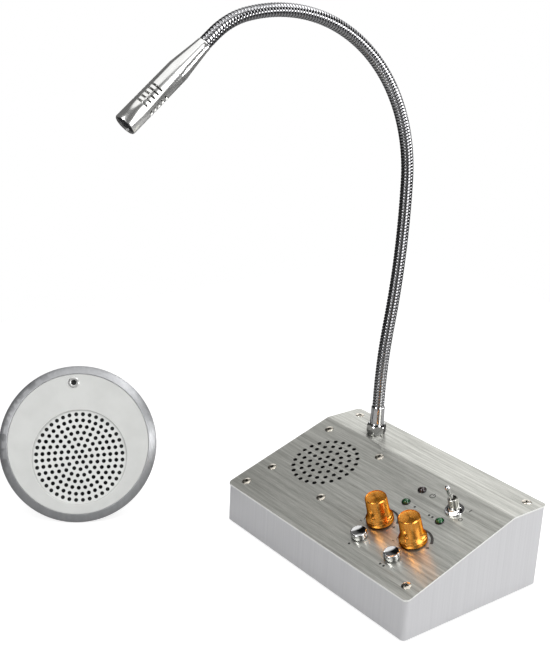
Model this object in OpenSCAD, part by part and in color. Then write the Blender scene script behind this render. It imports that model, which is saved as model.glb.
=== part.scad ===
// Counter intercom for a service window: a sloped desk console with a gooseneck
// microphone, and the round speaking unit that goes on the far side of the glass.
// The origin is the centre of the console's underside. +Z is up, -Y is the front.

/* [Console] */
// Width of the housing
body_w = 170; // [150:1:220]
// Depth of the housing, front to back
body_d = 113; // [108:1:150]
// Height of the panel's top face at the front
front_h = 26.6; // [25:0.1:34]
// Height of the panel's flat rear strip
rear_h = 54.1; // [50:0.1:66]
// Depth of the flat rear strip
flat_d = 28.8; // [24:0.1:34]
// Wall of the cast housing
wall = 1.5; // [1.2:0.1:2.5]
// Radius of the housing's upright edges
corner_r = 2.5; // [1.5:0.1:5]
// Thickness of the bent sheet panel
sheet = 1; // [0.8:0.1:1.5]
// How far the panel stands past the walls
lip = 0.6; // [0:0.1:1.5]
// Outer radius of the panel's bend
bend_r = 5; // [2:0.5:8]
// Dark joint between the walls and the panel
seam = 0.3; // [0.1:0.1:0.6]
// Height of the rubber feet
foot_h = 1.5; // [1:0.5:3]

/* [Speaker] */
// Distance of the speaker's centre from the left wall
speaker_inset = 36.6; // [35:0.1:45]
// Distance of the speaker's centre up the slope
speaker_s = 53.9; // [50:0.1:56]
// Radius of the driver
driver_r = 30; // [28:0.5:31]
// Spacing of the grille's rings of holes
grille_pitch = 5.39; // [4.5:0.01:5.6]
// Diameter of a grille hole
grille_hole = 2.9; // [2:0.1:3.4]
// Half the spacing of the speaker's screws
speaker_screw = 25.5; // [25:0.1:27]

/* [Controls] */
// Distance of the right column of controls from the right wall
column_inset = 32.2; // [28:0.1:36]
// Spacing of the two columns
column_pitch = 28.9; // [25:0.1:32]
// Push buttons' distance up the slope
button_s = 19.5; // [16:0.1:21]
// Knobs' distance up the slope
knob_s = 36.8; // [36:0.1:40]
// Channel lamps' distance up the slope
lamp_s = 58.7; // [55:0.1:60]
// Toggle switch's distance up the slope
toggle_s = 71.6; // [70:0.1:73]
// Power lamp's distance up the slope
power_s = 72.7; // [68:0.1:76]
// Diameter of a knob's body
knob_d = 13.9; // [12.8:0.1:15]
// Diameter of a knob's flange
knob_flange_d = 17.3; // [16:0.1:20]
// Height of a knob
knob_h = 18; // [16:0.5:22]
// Travel of a push button
button_travel = 0.8; // [0.5:0.1:0.9]
// Diameter of a button's cap
button_d = 10; // [9.6:0.1:12]
// Swing of the toggle lever to each side
toggle_swing = 10; // [6:1:10]

/* [Gooseneck] */
// Distance of the neck from the left wall
neck_inset = 37; // [30:0.1:45]
// Distance of the neck from the rear wall
neck_back = 18; // [16:0.1:19]
// Outer diameter of the wound tube
neck_d = 8; // [7.4:0.1:8.4]
// Spacing of the tube's ribs
rib_pitch = 2.08; // [2:0.01:2.6]
// Depth of the groove between ribs
rib_depth = 0.55; // [0.3:0.05:0.6]
// Height of the base nut above the panel
gland_h = 7.4; // [6:0.1:9]
// Height of the ferrule's top above the panel
ferrule_h = 19.9; // [18:0.1:24]

/* [Microphone] */
// Length of the microphone's tube
mic_len = 62.6; // [58:0.1:70]
// Diameter of the microphone's tube
mic_d = 13.1; // [12.6:0.1:15]
// Length of the collar's taper
mic_taper = 18; // [14:0.5:20]
// Spacing of the sound slots
slot_pitch = 2.9; // [2.4:0.1:3.2]

/* [Outer unit] */
// Diameter of the outer unit
outer_d = 103; // [100:0.5:125]
// Diameter of its flat face
face_d = 92; // [88:0.5:94]
// Diameter of the sunk grille
sunk_d = 61.5; // [60:0.5:63]
// How far the grille lies below the face's centre
grille_drop = 8.8; // [7:0.1:9]
// Spacing of its rings of holes
outer_pitch = 4.03; // [3.6:0.01:4.1]
// Diameter of its holes
outer_hole = 2.3; // [1.6:0.1:2.6]
// Microphone hole's distance above the face's centre
outer_mic = 40.5; // [38:0.1:41]
// Diameter of the can behind the face
can_d = 82; // [81:0.5:86]
// Length of the can
can_len = 22.3; // [22:0.1:30]

/* [Hidden] */
$fn = 48;

thread_gap = 0.02;   // a nut on its thread
running_gap = 0.05;  // a shaft in its bore
fit_gap = 0.1;       // a piece dropped in its hole
eps = 0.01;          // reach of a cut past a face

// Slope of the panel, and the column and row places
tilt = atan2(rear_h - front_h, body_d - flat_d);
slope_top_y = body_d / 2 - flat_d;
speaker_x = speaker_inset - body_w / 2;
column_x = [body_w / 2 - column_inset - column_pitch, body_w / 2 - column_inset];
neck_x = neck_inset - body_w / 2;
neck_y = body_d / 2 - neck_back;
screw_side = 8.8;
screw_front_s = 8.2;
screw_rear = 7.5;

// The neck's route from the top of its ferrule: [length, turn in degrees]
neck_route = [[8, 0], [50, 8.3], [96, -10.4], [190, -99], [24, -28.5], [8, 0]];
neck_len = 376;
neck_joints = [24, 100, 200, 300];
joint_gap = 0.9;
tail_len = 8;
bore_r = 2.4;
groove_r = neck_d / 2 - rib_depth;

// The outer unit leans back on its rim and the edge of its can
outer_x = -150;
outer_y = -133;
outer_turn = 61.6;
outer_roll = 4;
ring_h = 6;
outer_tilt = atan2((outer_d - can_d) / 2, can_len);
outer_z = -foot_h + outer_d / 2 * cos(outer_tilt) + ring_h * sin(outer_tilt);
face_t = 1.5;
face_sink = 0.3;
mesh_t = 1;
can_wall = 1.5;
can_flange_r = 48;

// ---- shared shapes ----

function rounded_rect(w, d, r, n = 5) = [
    for (c = [[1, 1, 0], [-1, 1, 90], [-1, -1, 180], [1, -1, 270]])
        for (i = [0:n])
            [c[0] * (w / 2 - r) + r * cos(c[2] + 90 * i / n),
             c[1] * (d / 2 - r) + r * sin(c[2] + 90 * i / n)]];

module plate(w, d, r, h) {
    linear_extrude(h) polygon(rounded_rect(w, d, r));
}

module ring(r_out, r_in, h) {
    difference() {
        cylinder(r = r_out, h = h);
        translate([0, 0, -eps]) cylinder(r = r_in, h = h + 2 * eps);
    }
}

module hex_nut(flats, bore, h) {
    difference() {
        cylinder(r = flats / 2 / cos(30), h = h, $fn = 6);
        translate([0, 0, -eps]) cylinder(r = bore, h = h + 2 * eps);
    }
}

// A side view drawn in Y and Z, run across the whole width
module across(width, points) {
    rotate([90, 0, 90]) translate([0, 0, -width / 2]) linear_extrude(width) polygon(points);
}

module on_slope(x, s) {
    translate([x, s * cos(tilt) - body_d / 2, front_h + s * sin(tilt)])
        rotate([tilt, 0, 0]) children();
}

module on_flat(x, y) {
    translate([x, y, rear_h]) children();
}

module at_panel_screws() {
    for (side = [-1, 1]) {
        on_slope(side * (body_w / 2 - screw_side), screw_front_s) children();
        on_flat(side * (body_w / 2 - screw_side), body_d / 2 - screw_rear) children();
    }
}

module at_speaker_screws() {
    on_slope(speaker_x, speaker_s)
        for (i = [-1, 1], j = [-1, 1])
            translate([i * speaker_screw, j * speaker_screw, 0]) children();
}

// Rings of holes round a centre hole, each ring with its own count
module hole_rings(counts, pitch, r, depth) {
    for (k = [0:len(counts) - 1])
        for (i = [0:counts[k] - 1])
            rotate(360 * i / counts[k])
                translate([k * pitch, 0, -depth]) cylinder(r = r, h = depth + 1, $fn = 24);
}

// A raised countersunk screw with a cross recess; its seat is at z = 0
module cross_screw(head_r, shank_r, len, dome = 0.5) {
    difference() {
        union() {
            cylinder(r1 = head_r, r2 = head_r * 0.72, h = dome);
            translate([0, 0, shank_r - head_r]) cylinder(r1 = shank_r, r2 = head_r, h = head_r - shank_r);
            translate([0, 0, -len]) cylinder(r = shank_r, h = len - head_r + shank_r + eps);
        }
        for (turn = [0, 90])
            rotate(turn) translate([-head_r * 0.55, -0.3, -0.7]) cube([head_r * 1.1, 0.6, dome + 1]);
    }
}

module countersink(head_r, shank_r) {
    translate([0, 0, shank_r - head_r]) cylinder(r1 = shank_r, r2 = head_r, h = head_r - shank_r);
    cylinder(r = head_r, h = 1);
}

// ---- console housing and panel ----

panel_head_r = 3;
panel_shank_r = 1.5;
post_r = 4.5;
post_bore = 8;

// Side view of the space below a plane that lies `drop` under the panel's top
function below_panel(drop, back = 0) = [
    [-body_d, -foot_h], [body_d, -foot_h], [body_d, rear_h - drop],
    [(rear_h - drop - front_h + drop / cos(tilt)) / tan(tilt) - body_d / 2, rear_h - drop],
    [-body_d, front_h - body_d / 2 * tan(tilt) - drop / cos(tilt)]];

board_w = 68;
board_d = 44;
board_t = 1.6;
board_z = wall + 5;
board_right = 15;
board_back = 0.8;
board_hole = 4;
function board_spots() = [
    for (i = [0, 1], j = [0, 1])
        [body_w / 2 - board_right - board_hole - i * (board_w - 2 * board_hole),
         body_d / 2 - wall - board_back - board_hole - j * (board_d - 2 * board_hole)]];

socket_z = board_z + board_t + 6.5;
power_x = body_w / 2 - 33;
line_x = [body_w / 2 - 55, body_w / 2 - 71];
power_nose_r = 4;
line_nose_r = 3;
foot_inset = 13;
foot_r = 6;
fixing_inset = 9;
fixing_y = 25;
fixing_r = 2.1;

module housing() {
    color([0.72, 0.73, 0.75]) difference() {
        union() {
            difference() {
                intersection() {
                    plate(body_w, body_d, corner_r, rear_h);
                    across(body_w + 2, below_panel(sheet + seam));
                }
                translate([0, 0, wall])
                    plate(body_w - 2 * wall, body_d - 2 * wall, corner_r - wall / 2, rear_h);
            }
            intersection() {
                for (side = [-1, 1]) {
                    translate([side * (body_w / 2 - screw_side), screw_front_s * cos(tilt)
                               + post_bore / 2 * sin(tilt) - body_d / 2, wall / 2])
                        screw_post(side);
                    translate([side * (body_w / 2 - screw_side), body_d / 2 - screw_rear, wall / 2])
                        screw_post(side);
                }
                across(body_w + 2, below_panel(sheet));
            }
            for (p = board_spots())
                translate([p[0], p[1], wall / 2]) cylinder(r = 3, h = board_z - wall / 2);
        }
        at_panel_screws() {
            translate([0, 0, -sheet - post_bore]) cylinder(r = panel_shank_r + thread_gap, h = post_bore + sheet);
            countersink(panel_head_r + fit_gap, panel_shank_r + thread_gap);
        }
        for (p = board_spots())
            translate([p[0], p[1], wall]) cylinder(r = 1.25 + thread_gap, h = board_z);
        for (i = [-1, 1], j = [-1, 1])
            translate([i * (body_w / 2 - fixing_inset), j * fixing_y, -eps])
                cylinder(r = fixing_r, h = wall + 2 * eps);
        translate([power_x, body_d / 2 - wall - eps, socket_z]) rotate([-90, 0, 0])
            cylinder(r = power_nose_r + fit_gap, h = wall + 1);
        for (x = line_x)
            translate([x, body_d / 2 - wall - eps, socket_z]) rotate([-90, 0, 0])
                cylinder(r = line_nose_r + fit_gap, h = wall + 1);
    }
}

// A screw post with a web to the nearest side wall, a little lower than its top
module screw_post(side) {
    cylinder(r = post_r, h = rear_h);
    translate([side > 0 ? 0 : wall - screw_side, -wall / 2, 0])
        cube([screw_side - wall, wall, 16]);
}

module rubber_feet() {
    color([0.12, 0.12, 0.12])
        for (i = [-1, 1], j = [-1, 1])
            translate([i * (body_w / 2 - foot_inset), j * (body_d / 2 - foot_inset), -foot_h])
                cylinder(r1 = foot_r - 0.5, r2 = foot_r, h = foot_h);
}

console_rings = [1, 6, 12, 18, 24];
pot_thread_r = 3.5;
button_thread_r = 3.5;
lamp_r = 2.5;
lamp_hole_r = 2.9;
toggle_thread_r = 3.175;
neck_thread_r = 4;

module top_panel() {
    color([0.66, 0.66, 0.64]) difference() {
        intersection() {
            plate(body_w + 2 * lip, body_d + 2 * lip, corner_r + lip, rear_h + 1);
            across(body_w + 4, bent_sheet());
        }
        on_slope(speaker_x, speaker_s)
            hole_rings(console_rings, grille_pitch, grille_hole / 2, 2 * sheet + 1);
        at_panel_screws() panel_hole(panel_shank_r + fit_gap, true);
        at_speaker_screws() panel_hole(panel_shank_r + fit_gap, true);
        for (x = column_x) {
            on_slope(x, knob_s) panel_hole(pot_thread_r + fit_gap);
            on_slope(x, button_s) panel_hole(button_thread_r + fit_gap);
            on_slope(x, lamp_s) panel_hole(lamp_hole_r);
        }
        on_slope(column_x[0], power_s) panel_hole(lamp_hole_r);
        on_slope(column_x[1], toggle_s) panel_hole(toggle_thread_r + fit_gap);
        on_flat(neck_x, neck_y) panel_hole(neck_thread_r + fit_gap);
    }
}

module panel_hole(r, sunk = false) {
    translate([0, 0, -2 * sheet]) cylinder(r = r, h = 2 * sheet + 1);
    if (sunk) countersink(panel_head_r + fit_gap, panel_shank_r);
}

// The sheet's section: down the slope, round the bend and along the flat
function bent_sheet() =
    let (y0 = -body_d / 2 - lip - 1,
         bend_y = slope_top_y + bend_r * tan(tilt / 2),
         arc = function (r) [
             for (i = [0:4])
                 let (a = tilt * (4 - i) / 4) [bend_y - r * sin(a), rear_h - bend_r + r * cos(a)]],
         top = concat([[y0, front_h + (y0 + body_d / 2) * tan(tilt)]],
                      arc(bend_r), [[body_d, rear_h]]),
         under = concat([[y0, front_h + (y0 + body_d / 2) * tan(tilt) - sheet / cos(tilt)]],
                        arc(bend_r - sheet), [[body_d, rear_h - sheet]]))
    concat(top, [for (i = [len(under) - 1:-1:0]) under[i]]);

module panel_screws() {
    color([0.80, 0.78, 0.70]) at_panel_screws() cross_screw(panel_head_r, panel_shank_r, 7.5);
}

// ---- loudspeaker drivers, drawn below their mounting plane ----

gasket_h = 1.5;
rim_h = 0.5;
flange_h = 1.2;
front_h_stack = gasket_h + rim_h;

module driver_gasket(r) {
    translate([0, 0, -gasket_h]) ring(r, r - 2.5, gasket_h);
}

module driver_frame(r, depth, lugs) {
    z0 = -front_h_stack;
    z1 = z0 - flange_h;
    z2 = z0 - depth;
    difference() {
        union() {
            rotate_extrude($fn = 72) polygon([
                [r, z0], [r, z1], [r - 1.5, z1], [17, z2], [17, z2 - flange_h],
                [8.2, z2 - flange_h], [8.2, z2], [15.8, z2], [r - 3.5, z1], [r - 3.5, z0]]);
            if (lugs)
                for (turn = [45, 135]) rotate(turn) difference() {
                    translate([-speaker_screw * sqrt(2) - 4, -5, z1])
                        cube([2 * speaker_screw * sqrt(2) + 8, 10, flange_h]);
                    translate([0, 0, z1 - 1]) cylinder(r = r - 1, h = flange_h + 2);
                }
        }
        for (i = [0:3]) rotate(90 * i)
            translate([16.4, -7, z2 + 2]) cube([r - 19.5, 14, depth - flange_h - 3.4]);
        if (lugs)
            for (i = [-1, 1], j = [-1, 1])
                translate([i * speaker_screw, j * speaker_screw, z1 - 1])
                    cylinder(r = panel_shank_r + fit_gap, h = flange_h + 2);
    }
}

module driver_cone(r, depth) {
    t = 0.4;
    z0 = -gasket_h;
    roll = 2;
    roll_x = r - 3.9 - roll;
    apex = z0 - depth * 0.62;
    function roll_arc(q) = [for (i = [1:7]) [roll_x + q * cos(180 * i / 8), z0 - rim_h / 2 - q * sin(180 * i / 8)]];
    outer = roll_arc(roll + t / 2);
    inner = roll_arc(roll - t / 2);
    rotate_extrude($fn = 60) polygon(concat(
        [[r - 0.5, z0], [r - 0.5, z0 - rim_h], [roll_x + roll + t / 2, z0 - rim_h]],
        outer,
        [[roll_x - roll - t / 2 - 0.5, z0 - rim_h], [7.2, apex - t], [7.2, z0 - depth - flange_h - 1.2],
         [6.7, z0 - depth - flange_h - 1.2], [6.7, apex], [0, apex], [0, apex + 2.2], [3, apex + 1.8],
         [5.4, apex + 0.8], [7, apex + t], [roll_x - roll - t / 2 - 0.5, z0]],
        [[roll_x - roll + t / 2, z0]],
        [for (i = [6:-1:0]) inner[i]],
        [[roll_x + roll - t / 2, z0]]));
}

module driver_magnet(depth, magnet_h, plate_h) {
    z0 = -front_h_stack - depth - flange_h;
    z1 = z0 - plate_h;
    z2 = z1 - magnet_h;
    z3 = z2 - plate_h;
    rotate_extrude($fn = 60) polygon([
        [0, z0 - 0.4], [6.2, z0 - 0.4], [6.2, z2], [9, z2], [9, z1], [7.6, z1], [7.6, z0],
        [15.5, z0], [15.5, z1], [17, z1], [17, z2], [15.5, z2], [15.5, z3], [0, z3]]);
}

desk_depth = 13.2;

module at_speaker() {
    on_slope(speaker_x, speaker_s) translate([0, 0, -sheet]) children();
}

module speaker_gasket() {
    color([0.10, 0.10, 0.10]) at_speaker() driver_gasket(driver_r);
}

module speaker_frame() {
    color([0.25, 0.26, 0.28]) at_speaker() driver_frame(driver_r, desk_depth, true);
}

module speaker_cone() {
    color([0.14, 0.14, 0.15]) at_speaker() driver_cone(driver_r, desk_depth);
}

module speaker_magnet() {
    color([0.35, 0.36, 0.38]) at_speaker() driver_magnet(desk_depth, 7, 2);
}

module speaker_screws() {
    color([0.80, 0.78, 0.70]) at_speaker_screws() cross_screw(panel_head_r, panel_shank_r, 9);
}

module speaker_nuts() {
    color([0.70, 0.70, 0.70]) at_speaker_screws()
        translate([0, 0, -sheet - front_h_stack - flange_h - 2.4])
            hex_nut(5.5, panel_shank_r + thread_gap, 2.4);
}

// ---- circuit board and what stands on it ----

board_cx = body_w / 2 - board_right - board_w / 2;
board_cy = body_d / 2 - wall - board_back - board_d / 2;
board_top = board_z + board_t;
board_front = board_cy - board_d / 2;

module main_board() {
    color([0.10, 0.36, 0.20]) difference() {
        translate([board_cx, board_cy, board_z]) plate(board_w, board_d, 1, board_t);
        for (p = board_spots())
            translate([p[0], p[1], board_z - 1]) cylinder(r = 1.25 + fit_gap, h = board_t + 2);
    }
}

module board_screws() {
    color([0.75, 0.75, 0.75])
        for (p = board_spots())
            translate([p[0], p[1], board_top]) {
                difference() {
                    cylinder(r = 2.4, h = 1.6);
                    translate([-1.4, -0.3, 0.9]) cube([2.8, 0.6, 1]);
                    translate([-0.3, -1.4, 0.9]) cube([0.6, 2.8, 1]);
                }
                translate([0, 0, -5.6]) cylinder(r = 1.25, h = 5.6 + eps);
            }
}

// [x from the board's left edge, y from its front edge, radius, height]
can_spots = [[40, 18, 5, 16], [22, 27, 4, 12], [10, 27, 4, 12], [34, 28, 3.15, 11]];

module capacitors() {
    color([0.13, 0.16, 0.30])
        for (c = can_spots)
            translate([board_cx - board_w / 2 + c[0], board_front + c[1], board_top])
                rotate_extrude() polygon([
                    [0, 0], [c[2] - 0.3, 0], [c[2] - 0.3, 0.8], [c[2] - 0.6, 1.2], [c[2], 1.6],
                    [c[2], c[3] - 0.5], [c[2] - 0.5, c[3]], [c[2] - 1.2, c[3]],
                    [c[2] - 1.2, c[3] - 0.3], [0, c[3] - 0.3]]);
}

module amplifier_chip() {
    translate([board_cx - board_w / 2 + 17, board_front + 13, board_top]) {
        color([0.60, 0.60, 0.62]) difference() {
            translate([-14, 0, 0]) cube([28, 8, 20]);
            for (i = [-2:2])
                translate([i * 5 - 1.25, 2, -1]) cube([2.5, 7, 22]);
        }
        color([0.10, 0.10, 0.10]) translate([-10, -4.6, 3]) cube([20, 4.6, 11]);
        color([0.75, 0.75, 0.72])
            for (i = [-2:2])
                translate([i * 3.4 - 0.4, -2.6, 0]) cube([0.8, 0.6, 3]);
    }
}

module wire_headers() {
    color([0.92, 0.91, 0.86])
        for (i = [0:3])
            translate([board_cx - board_w / 2 + 33 + 7 * i, board_front + 2, board_top])
                difference() {
                    cube([6, 5, 6]);
                    translate([0.8, 0.8, 1.2]) cube([4.4, 3.4, 6]);
                }
}

socket_front = body_d / 2 - wall;
nose_reach = 0.7;

module power_inlet() {
    color([0.10, 0.10, 0.10]) translate([power_x, socket_front, socket_z]) {
        difference() {
            union() {
                translate([-4.5, -13, -6.5]) cube([9, 13 - fit_gap, 12]);
                translate([0, -1, 0]) rotate([-90, 0, 0]) cylinder(r = power_nose_r, h = 1 + wall + nose_reach);
            }
            translate([0, wall + nose_reach - 9.5, 0]) rotate([-90, 0, 0]) cylinder(r = 2.75, h = 11);
        }
        translate([0, wall + nose_reach - 10, 0]) rotate([-90, 0, 0]) cylinder(r = 1.05, h = 9.4);
    }
}

module line_sockets() {
    color([0.12, 0.12, 0.12])
        for (x = line_x)
            translate([x, socket_front, socket_z]) difference() {
                union() {
                    translate([-4, -12, -6.5]) cube([8, 12 - fit_gap, 10]);
                    translate([0, -1, 0]) rotate([-90, 0, 0]) cylinder(r = line_nose_r, h = 1 + wall + nose_reach);
                }
                translate([0, wall + nose_reach - 12, 0]) rotate([-90, 0, 0]) cylinder(r = 1.8, h = 13);
            }
}

// ---- volume controls ----

pot_r = 8.2;
pot_depth = 8.5;
shaft_r = 3;
thread_top = 5;
knob_gap = 1;
shaft_top = knob_gap + knob_h - 3.5;

module pot_bodies() {
    color([0.62, 0.62, 0.60])
        for (x = column_x) on_slope(x, knob_s) difference() {
            union() {
                translate([0, 0, -sheet - pot_depth]) cylinder(r = pot_r, h = pot_depth);
                translate([0, 0, -sheet - 1]) cylinder(r = pot_thread_r, h = sheet + 1 + thread_top);
                for (i = [-1:1])
                    translate([i * 5 - 1, -pot_r - 3.5, -sheet - 3.2]) cube([2, 6, 0.8]);
            }
            translate([0, 0, -sheet - pot_depth + 1.5])
                cylinder(r = shaft_r + running_gap, h = pot_depth + thread_top + 1);
        }
}

module pot_nuts() {
    color([0.78, 0.78, 0.76])
        for (x = column_x) on_slope(x, knob_s) hex_nut(10, pot_thread_r + thread_gap, 2.2);
}

module pot_shaft(i) {
    color([0.75, 0.75, 0.72]) on_slope(column_x[i], knob_s)
        translate([0, 0, -sheet - pot_depth + 2])
            cylinder(r = shaft_r, h = shaft_top + sheet + pot_depth - 2);
}

module knob(i) {
    body_r = knob_d / 2;
    flange_r = knob_flange_d / 2;
    color([0.83, 0.58, 0.22]) on_slope(column_x[i], knob_s) translate([0, 0, knob_gap])
        rotate_extrude($fn = 72) polygon([
            [6.1, 0], [flange_r - 0.4, 0], [flange_r, 0.4], [flange_r, 2.4], [flange_r - 0.25, 3.2],
            [flange_r - 0.85, 4.1], [body_r + 0.55, 5], [body_r + 0.2, 6], [body_r + 0.03, 7.2],
            [body_r - 0.25, knob_h - 0.6], [body_r - 0.75, knob_h],
            [body_r - 1, knob_h], [body_r - 1.2, knob_h - 0.2], [0, knob_h - 0.35],
            [0, shaft_top - knob_gap + eps], [shaft_r, shaft_top - knob_gap + eps],
            [shaft_r, thread_top + 0.4], [pot_thread_r + 0.4, thread_top + 0.4],
            [pot_thread_r + 0.4, 2.4], [6.1, 2.4]]);
}

// ---- push buttons ----

button_nut_h = 1.2;
button_nut_r = button_d / 2 - 0.8;
button_thread_top = 1.5;
button_bottom = button_travel + 0.2;
button_top = 4.2;
button_ceiling = 3.4;
stem_r = 1.85;
button_body = 9;
button_depth = 9;

module button_nuts() {
    color([0.80, 0.80, 0.82])
        for (x = column_x) on_slope(x, button_s)
            rotate_extrude() polygon([
                [button_thread_r + thread_gap, 0], [button_nut_r, 0], [button_nut_r, 0.9],
                [button_nut_r - 0.3, button_nut_h], [button_thread_r + thread_gap, button_nut_h]]);
}

module button_switches() {
    color([0.16, 0.16, 0.17])
        for (x = column_x) on_slope(x, button_s) difference() {
            union() {
                translate([-button_body / 2, -button_body / 2, -sheet - button_depth])
                    cube([button_body, button_body, button_depth]);
                translate([0, 0, -sheet - 1]) cylinder(r = button_thread_r, h = sheet + 1 + button_thread_top);
                for (i = [-1, 1])
                    translate([i * 2.5 - 0.9, -0.3, -sheet - button_depth - 4]) cube([1.8, 0.6, 5]);
            }
            translate([0, 0, -sheet - button_depth + 2])
                cylinder(r = stem_r + running_gap, h = button_depth + button_thread_top);
        }
}

module button_cap(i) {
    r = button_d / 2;
    color([0.82, 0.82, 0.84]) on_slope(column_x[i], button_s)
        rotate_extrude() polygon([
            [0, -5.5], [stem_r, -5.5], [stem_r, button_ceiling], [r - 0.5, button_ceiling],
            [r - 0.5, button_bottom], [r, button_bottom], [r, button_top - 0.5],
            [r - 0.15, button_top - 0.15], [r - 0.5, button_top], [r - 0.8, button_top - 0.1], [0, button_top - 0.25]]);
}

// A compression spring: one wire wound from the thread's top to the cap's ceiling
module button_spring(i) {
    wire = 0.15;
    turns = 2;
    steps = 12;
    sides = 6;
    coil_r = 2.8;
    low = button_thread_top + wire + eps;
    rise = button_ceiling - button_thread_top - 2 * (wire + eps);
    n = turns * steps;
    pts = [for (k = [0:n], j = [0:sides - 1])
        let (a = 360 * k / steps, b = 360 * j / sides, q = coil_r + wire * cos(b))
        [q * cos(a), q * sin(a), low + rise * k / n + wire * sin(b)]];
    color([0.70, 0.70, 0.72]) on_slope(column_x[i], button_s)
        polyhedron(pts, tube_faces(n, sides, 0));
    echo(spring_gap = rise / turns - 2 * wire);
}

// Triangles of a tube of rings; `at` is the first ring's first point
function wall_faces(n, sides, at, inside = false) = [
    for (k = [0:n - 1], j = [0:sides - 1])
        let (a = at + k * sides + j, b = at + k * sides + (j + 1) % sides, c = a + sides, d = b + sides)
        each (inside ? [[a, b, d], [a, d, c]] : [[a, d, b], [a, c, d]])];

function tube_faces(n, sides, at) = concat(
    wall_faces(n, sides, at, true),
    [for (j = [1:sides - 2]) [at, at + j + 1, at + j]],
    [for (j = [1:sides - 2]) let (e = at + n * sides) [e, e + j, e + j + 1]]);

// ---- lamps ----

lamp_top = 2.4;

module lamp_holders() {
    color([0.08, 0.08, 0.08]) at_lamps() {
        rotate_extrude() polygon([
            [lamp_r + 0.05, -sheet - 2], [lamp_hole_r + 0.7, -sheet - 2], [lamp_hole_r + 0.7, -sheet],
            [lamp_hole_r - 0.05, -sheet], [lamp_hole_r - 0.05, 0.5], [lamp_hole_r - 0.2, 0.8],
            [lamp_r + 0.05, 0.8]]);
    }
}

module at_lamps() {
    for (x = column_x) on_slope(x, lamp_s) children();
    on_slope(column_x[0], power_s) children();
}

module lamp() {
    translate([0, 0, -sheet - 3.2]) cylinder(r = lamp_r + 0.35, h = 1.2);
    translate([0, 0, -sheet - 2.1]) cylinder(r = lamp_r, h = sheet + 2.1 + lamp_top - lamp_r);
    translate([0, 0, lamp_top - lamp_r]) intersection() {
        sphere(r = lamp_r);
        cylinder(r = lamp_r + 1, h = lamp_r + 1);
    }
    for (i = [-1, 1])
        translate([i * 1.27 - 0.25, -0.25, -sheet - 8]) cube([0.5, 0.5, 5]);
}

module channel_lamps() {
    color([0.12, 0.42, 0.16]) for (x = column_x) on_slope(x, lamp_s) lamp();
}

module power_lamp() {
    color([0.16, 0.10, 0.10]) on_slope(column_x[0], power_s) lamp();
}

// ---- toggle switch ----

toggle_top = 9.6;
toggle_bore = 2.4;
pivot_z = 4.2;
lever_len = 16.5;
washer_h = 0.8;

module toggle_body() {
    color([0.72, 0.72, 0.70]) on_slope(column_x[1], toggle_s) difference() {
        union() {
            translate([-3.95, -6.5, -sheet - 9.5]) cube([7.9, 13, 9.5]);
            translate([0, 0, -sheet - 1])
                cylinder(r = toggle_thread_r, h = sheet + 1 + toggle_top - 0.4);
            translate([0, 0, toggle_top - 0.4 - eps])
                cylinder(r1 = toggle_thread_r, r2 = toggle_thread_r - 0.4, h = 0.4);
            for (i = [-1:1])
                translate([-1, i * 4.7 - 0.4, -sheet - 13.5]) cube([2, 0.8, 5]);
        }
        translate([0, 0, -sheet - 6]) cylinder(r = toggle_bore, h = 20);
    }
}

module toggle_washer() {
    color([0.80, 0.80, 0.82]) on_slope(column_x[1], toggle_s)
        ring(6, toggle_thread_r + fit_gap, washer_h);
}

module toggle_nut() {
    color([0.80, 0.80, 0.82]) on_slope(column_x[1], toggle_s) translate([0, 0, washer_h])
        intersection() {
            hex_nut(8, toggle_thread_r + thread_gap, 2.4);
            translate([0, 0, -eps]) cylinder(r1 = 5.2, r2 = 4.2, h = 2.4 + 2 * eps);
        }
}

module toggle_lever() {
    color([0.84, 0.84, 0.86]) on_slope(column_x[1], toggle_s)
        translate([0, 0, pivot_z]) rotate([toggle_swing, 0, 0]) {
            sphere(r = toggle_bore - running_gap);
            translate([0, 0, -5.5]) cylinder(r = 0.9, h = 5.5);
            cylinder(r1 = 1.1, r2 = 1.6, h = lever_len - 1.7);
            translate([0, 0, lever_len - 1.7]) sphere(r = 1.7);
        }
}

// ---- gooseneck ----

module neck_nut() {
    color([0.82, 0.82, 0.84]) on_flat(neck_x, neck_y) intersection() {
        hex_nut(11.6, neck_thread_r + thread_gap, gland_h);
        rotate_extrude() polygon([
            [0, 0], [5.6, 0], [6.5, 1.3], [6.7, 2.6], [6.7, 4.6], [6.4, 6], [5.4, gland_h], [0, gland_h]]);
    }
}

module neck_ferrule() {
    stem = 10;
    color([0.80, 0.80, 0.82]) on_flat(neck_x, neck_y) rotate_extrude() polygon([
        [bore_r + 0.1, -stem], [neck_thread_r - 0.4, -stem], [neck_thread_r, -stem + 0.5],
        [neck_thread_r, gland_h], [4.9, gland_h], [4.8, gland_h + 1], [4.5, ferrule_h - 0.5], [4.2, ferrule_h],
        [groove_r + fit_gap, ferrule_h], [groove_r + fit_gap, ferrule_h - tail_len],
        [bore_r + 0.1, ferrule_h - tail_len]]);
}

module neck_lock_nut() {
    color([0.70, 0.70, 0.68]) on_flat(neck_x, neck_y)
        translate([0, 0, -sheet - 4]) hex_nut(13, neck_thread_r + thread_gap, 4);
}

// Place on the route at distance s: [y, z, lean from upright]
function route_at(s, k = 0, y = 0, z = 0, a = 0) =
    let (l = neck_route[k][0], turn = neck_route[k][1],
         d = (s <= l || k == len(neck_route) - 1) ? s : l,
         a2 = a + turn * d / l,
         q = turn == 0 ? 0 : l / (turn * PI / 180),
         y2 = y + (turn == 0 ? d * sin(a) : q * (cos(a) - cos(a2))),
         z2 = z + (turn == 0 ? d * cos(a) : q * (sin(a2) - sin(a))))
    d == s ? [y2, z2, a2] : route_at(s - l, k + 1, y2, z2, a2);

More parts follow.
